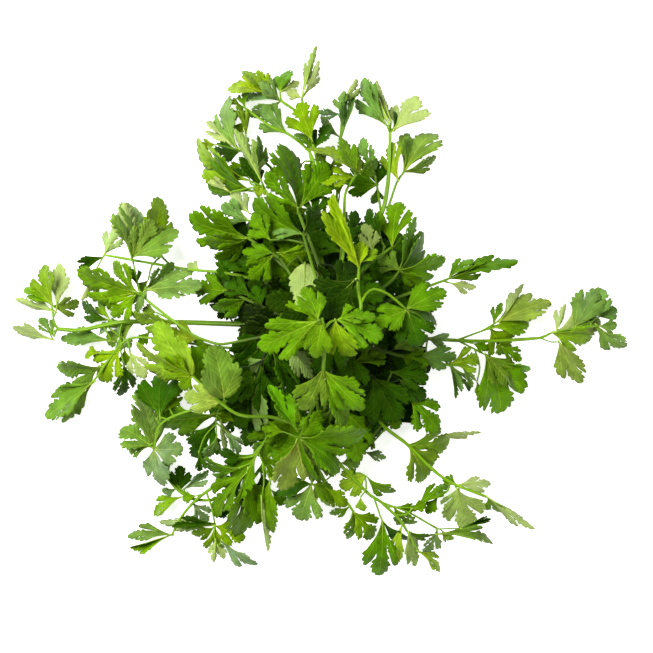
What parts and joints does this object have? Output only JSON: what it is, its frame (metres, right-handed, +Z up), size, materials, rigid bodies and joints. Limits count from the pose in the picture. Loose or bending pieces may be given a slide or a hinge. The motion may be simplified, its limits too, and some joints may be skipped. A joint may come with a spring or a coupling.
{
  "type": "parsley bunch",
  "caption": "Fresh flat-leaf parsley bunch lying opened out, its leafy sprigs fanned to every side in a low mound, for food and kitchen scenes.",
  "frame": {"origin": "on the surface that the bunch lies on, under the middle of its bounding box", "axes": "+Z up from the surface, +X along the longest spread of the sprigs, +Y along the other spread"},
  "size_m": [0.3784, 0.3256, 0.102],
  "materials": {
    "leaf": "satin",
    "inner_leaf": "satin"
  },
  "bodies": {
    "root": {"sprig_big_left": "leaf", "sprig_centre_back": "leaf", "sprig_centre_left": "leaf", "sprig_crown": "leaf", "sprig_crown_right": "leaf", "sprig_back_right": "leaf", "sprig_lower_centre": "leaf", "sprig_three_left": "leaf", "sprig_upper_left_b": "leaf", "sprig_upper_left_c": "leaf", "sprig_top_back": "leaf", "sprig_left_back": "leaf", "sprig_inner_left": "leaf", "sprig_top_thin": "leaf", "sprig_mid_right_back": "leaf", "sprig_mid_right": "leaf", "sprig_right_upper": "leaf", "sprig_inner_back": "leaf", "sprig_lower_right_a": "leaf", "sprig_lower_centre_b": "leaf", "sprig_lower_right_b": "inner_leaf", "sprig_inner_low_left": "inner_leaf", "sprig_under_01": "inner_leaf", "sprig_under_02": "inner_leaf", "sprig_under_03": "inner_leaf", "sprig_under_04": "inner_leaf", "sprig_under_05": "inner_leaf", "sprig_under_06": "inner_leaf", "sprig_under_07": "inner_leaf", "sprig_under_08": "inner_leaf", "sprig_under_09": "inner_leaf", "sprig_under_10": "inner_leaf", "sprig_long_left": "leaf", "sprig_bent_left": "leaf", "sprig_lower_left_yellow": "leaf", "sprig_low_left": "leaf", "sprig_low_left_hook": "leaf", "sprig_bottom_left_fork": "leaf", "sprig_bottom_left_dark": "leaf", "sprig_top_left": "leaf", "sprig_top_centre": "leaf", "sprig_upper_left_a": "leaf", "sprig_top_right": "leaf", "sprig_long_right": "leaf", "sprig_lower_right_long": "leaf", "sprig_bottom_right": "leaf", "sprig_bottom_centre": "leaf"}
  },
  "joints": []
}
